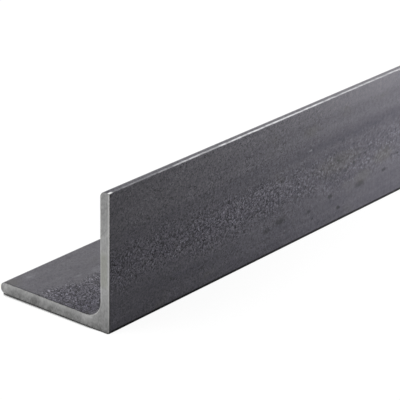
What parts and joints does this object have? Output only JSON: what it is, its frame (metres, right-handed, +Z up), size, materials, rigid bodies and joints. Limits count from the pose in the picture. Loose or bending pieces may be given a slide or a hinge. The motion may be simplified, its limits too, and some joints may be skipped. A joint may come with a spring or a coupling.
{
  "type": "steel angle bar",
  "caption": "Hot-rolled equal-leg steel angle: a straight L-section bar with rounded toes and a filleted inside corner, for frames, brackets and edging.",
  "frame": {"origin": "middle of the underside of the base leg, halfway along the bar", "axes": "+X along the bar, +Y across the base leg from the heel to its toe, +Z up the upright leg"},
  "size_m": [0.9144, 0.0382, 0.0381],
  "materials": {
    "mill_scale_steel": "hot-rolled mild steel with dark blue-grey mill scale, and lighter grey bare steel on the cut ends"
  },
  "bodies": {
    "root": {"angle_bar": "mill_scale_steel"}
  },
  "joints": []
}
